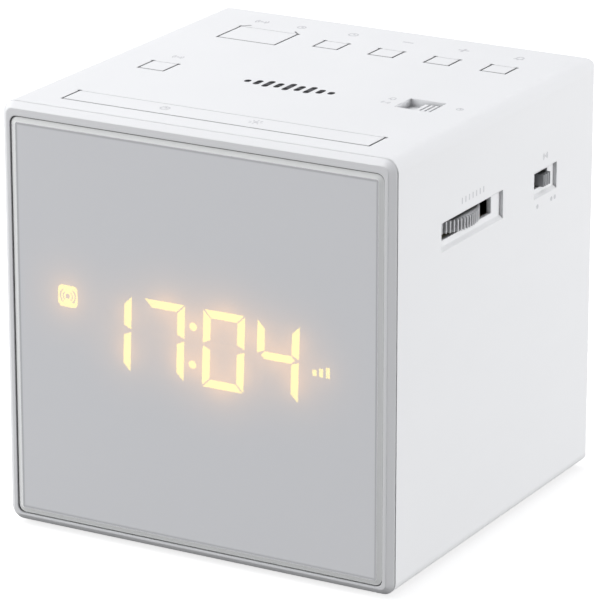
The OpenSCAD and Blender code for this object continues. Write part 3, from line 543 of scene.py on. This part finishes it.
def top_marks():
    """Generic signs printed on the top in place of words, in a row behind the keys."""
    radio_x, _, radio_rear = middle("radio_key")
    row_y = radio_rear + 6.2
    size = 1.9
    print_sign(clock_face(Marks(), middle("clock_key")[0], row_y, size), "sign_clock_key")
    print_sign(bell(Marks(), middle("alarm_key")[0], row_y, size), "sign_alarm_key")
    long, thick = 2.8, 0.6
    print_sign(Marks().bar(middle("minus_key")[0], row_y, long, thick), "sign_minus")
    plus_x = middle("plus_key")[0]
    plus = Marks().bar(plus_x, row_y, long, thick)
    for side in (-1, 1):
        plus.bar(plus_x, row_y + side * (long + thick) / 4, thick, (long - thick) / 2)
    print_sign(plus, "sign_plus")
    apart = 5.5
    print_sign(waves(Marks(), radio_x - apart, row_y, size), "sign_radio")
    print_sign(clock_face(Marks(), radio_x + apart, row_y, 1.7), "sign_radio_timer")
    sleep_x, _, sleep_rear = middle("sleep_key")
    print_sign(waves(Marks(), sleep_x, sleep_rear + 5.7, 1.6), "sign_sleep")


def snooze_marks():
    """Signs on the front bar, which move with it."""
    x, y, _ = middle("snooze_bar")
    row_y = y + 0.5
    body = BODY["snooze_bar"]
    print_sign(clock_face(Marks(), x - 15, row_y, 1.8), "sign_snooze", body=body)
    print_sign(sun(Marks(), x + 8.6, row_y, 2.0), "sign_brightness", body=body)


def emblem():
    """Row of level bars in the middle of the top, a plain sign for sound."""
    heights = [2.0, 3.6, 5.2, 3.8, 5.9, 4.4, 5.6, 3.4, 2.2]
    pitch, width = 2.75, 1.5
    marks = Marks()
    for i, h in enumerate(heights):
        x = (i - (len(heights) - 1) / 2) * pitch
        marks.bar(x, 0, width, h - width)
        marks.disc(x, (h - width) / 2, width / 2, 14)
        marks.disc(x, -(h - width) / 2, width / 2, 14)
    marks.make("emblem", top_plane(1.0, -8.4), DARK_INK, "root", "black_plastic", 0.04)


def slider_marks():
    """Signs left and right of the alarm slider."""
    x, y, _ = middle("alarm_slider")
    left_x, right_x = x - 10.05, x + 7.35
    print_sign(bell(Marks(), left_x, y + 1.8, 1.4), "sign_alarm_bell")
    print_sign(waves(Marks(), left_x, y - 1.8, 1.2), "sign_alarm_radio")
    print_sign(clock_face(Marks(), right_x, y + 1.2, 1.3), "sign_alarm_off")


def scale_bars(low, high):
    """Seven upright bars in a row about the origin, from a low one to a high one."""
    pitch, width, count = 1.75, 0.4, 7
    marks = Marks()
    for i in range(count):
        height = low + (high - low) * i / (count - 1)
        marks.bar((i - (count - 1) / 2) * pitch, height / 2, width, height)
    return marks


def side_marks():
    """Signs above the two wheels, and above and below the band slider."""
    lo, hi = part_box("tuning_wheel")
    scale_y = (lo.y + hi.y) / 2 / MM + 3
    scale_z = hi.z / MM + 2.8
    print_sign(scale_bars(1.4, 1.4), "tuning_scale", right_plane(scale_y, scale_z))
    print_sign(scale_bars(0.6, 2.2), "volume_scale", left_plane(scale_y, scale_z))
    lo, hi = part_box("band_slider")
    band_y, band_z = (lo.y + hi.y) / 2 / MM, (lo.z + hi.z) / 2 / MM
    dots_z = band_z - 5.7
    dot_r, dot_off = 0.55, 0.9
    one_dot = Marks().disc(0, 0, dot_r, 16)
    two_dots = Marks().disc(-dot_off, 0, dot_r, 16).disc(dot_off, 0, dot_r, 16)
    print_sign(waves(Marks(), 0, 0, 1.3), "band_sign", right_plane(band_y, band_z + 5.6))
    print_sign(one_dot, "band_mark_low", right_plane(band_y - 3.8, dots_z))
    print_sign(two_dots, "band_mark_high", right_plane(band_y + 4.4, dots_z))


top_marks()
snooze_marks()
emblem()
slider_marks()
side_marks()


# ---- Painted glow round the lit segments ----

def lit_points():
    """Front-face centres of the lit segments with their areas, as arrays in the window's plane."""
    mesh = frame["nodes"]["lit_segments"].data
    faces = [p for p in mesh.polygons if p.normal.y < -0.9]
    centres = np.array([(p.center.x, p.center.z) for p in faces])
    areas = np.array([p.area for p in faces])
    return centres, areas


def spill(centres, areas, x, z):
    """Painted light at one point: a tight halo and a faint wide one round every lit face."""
    tight, wide, wide_share = 2.2 * MM, 5.5 * MM, 0.35
    full_area = 20 * MM * MM
    d2 = ((centres - (x, z)) ** 2).sum(1)
    halo = np.exp(-d2 / (2 * tight ** 2)) + wide_share * np.exp(-d2 / (2 * wide ** 2))
    return float((halo * areas).sum() / full_area)


def painted_glow_film():
    """Fine grid just behind the window whose points store how much painted glow they show, as light
    spilt from the lit segments.
    """
    lo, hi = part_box("lit_segments")
    margin, step = 14 * MM, 1.0 * MM
    xs = np.arange(lo.x - margin, min(hi.x + margin, WIN_HI.x - 2 * MM), step)
    zs = np.arange(lo.z - margin, hi.z + margin, step)
    y = WIN_HI.y + 0.05 * MM
    centres, areas = lit_points()
    verts = [(x, y, z) for z in zs for x in xs]
    amounts = [spill(centres, areas, x, z) for z in zs for x in xs]
    cols = len(xs)
    starts = [row * cols + col for row in range(len(zs) - 1) for col in range(cols - 1)]
    quads = [(i, i + 1, i + cols + 1, i + cols) for i in starts]
    mesh = bpy.data.meshes.new("display_painted_glow_film")
    mesh.from_pydata(verts, [], quads)
    mesh.attributes.new("glow", "FLOAT", "POINT").data.foreach_set("value", amounts)
    # The film's emission is painted glow, not a lamp.
    mesh.materials.append(glow("display_painted_spill", (1.0, 0.42, 0.02), 1.7))
    obj = bpy.data.objects.new("display_painted_glow_film", mesh)
    bpy.context.scene.collection.objects.link(obj)
    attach(obj, "root")


painted_glow_film()


# ---- Stage, light and camera ----

def floor_look():
    """White with a soft shadow to the eye, an even grey in mirrors, and dim under the object."""
    mat, tree = new_material("studio_floor")
    path = add(tree, "ShaderNodeLightPath")
    grain = noise(tree, 40.0)
    pale = add(tree, "ShaderNodeBsdfDiffuse", {"Color": tint(tree, grain, (0.45, 0.45, 0.453), 0.01)})
    lift = add(tree, "ShaderNodeEmission", {"Color": rgba((0.75, 0.75, 0.75))})
    seen = join(tree, "ShaderNodeAddShader", pale, lift)
    dim = add(tree, "ShaderNodeBsdfDiffuse", {"Color": rgba((0.2, 0.2, 0.2))})
    mirrored = add(tree, "ShaderNodeEmission", {"Color": rgba((0.68, 0.685, 0.7))})
    unseen = join(tree, "ShaderNodeMixShader", dim, mirrored, {"Fac": path.outputs["Is Glossy Ray"]})
    whole = join(tree, "ShaderNodeMixShader", unseen, seen, {"Fac": path.outputs["Is Camera Ray"]})
    to_surface(tree, whole)
    return mat


def floor():
    bm = bmesh.new()
    bmesh.ops.create_circle(bm, cap_ends=True, segments=64, radius=6.0)
    mesh = bpy.data.meshes.new("studio_floor")
    bm.to_mesh(mesh)
    bm.free()
    obj = bpy.data.objects.new("studio_floor", mesh)
    bpy.context.scene.collection.objects.link(obj)
    mesh.materials.append(floor_look())


def area_light(name, place, aim, size, power):
    data = bpy.data.lights.new(name, "AREA")
    data.shape = "RECTANGLE"
    data.size, data.size_y = size
    data.energy = power
    obj = bpy.data.objects.new(name, data)
    obj.location = place
    obj.rotation_mode = "QUATERNION"
    obj.rotation_quaternion = (Vector(aim) - Vector(place)).to_track_quat("-Z", "Y")
    obj.visible_glossy = False
    bpy.context.scene.collection.objects.link(obj)


def lights():
    world = bpy.data.worlds.new("studio")
    world.use_nodes = True
    back = world.node_tree.nodes["Background"]
    back.inputs["Color"].default_value = (0.95, 0.96, 1.0, 1.0)
    back.inputs["Strength"].default_value = 0.4
    bpy.context.scene.world = world
    aim = (0.0, 0.0, 0.05)
    area_light("overhead", (-0.6, 0.1, 1.0), aim, (1.4, 1.4), 12.1)
    area_light("right_side", (1.1, 0.5, 0.14), aim, (1.2, 0.24), 11.5)
    area_light("front_left", (-0.9, -0.8, 0.5), aim, (0.9, 0.9), 8.6)


def camera():
    """Long lens from the front right, a little above the object."""
    azimuth, elevation, distance = math.radians(29.43), math.radians(18.264), 0.997
    right = Vector((math.cos(azimuth), math.sin(azimuth), 0.0))
    level_back = Vector((math.sin(azimuth), -math.cos(azimuth), 0.0))
    back = level_back * math.cos(elevation) + Vector((0.0, 0.0, math.sin(elevation)))
    up = back.cross(right)
    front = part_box("front_bezel")[0].y
    centre = Vector((0.0, (front + CAB_HI.y) / 2, (CAB_LO.z + CAB_HI.z) / 2))
    aim = centre - 0.8 * MM * right - 3.05 * MM * up
    data = bpy.data.cameras.new("photo_camera")
    data.lens = 254.7
    data.sensor_width = 36.0
    data.clip_start, data.clip_end = 0.05, 50.0
    obj = bpy.data.objects.new("photo_camera", data)
    frame_of = Matrix((right, up, back)).transposed().to_4x4()
    obj.matrix_world = Matrix.Translation(aim + back * distance) @ frame_of
    bpy.context.scene.collection.objects.link(obj)
    bpy.context.scene.camera = obj


floor()
lights()
camera()
bpy.context.scene.view_settings.view_transform = "Standard"
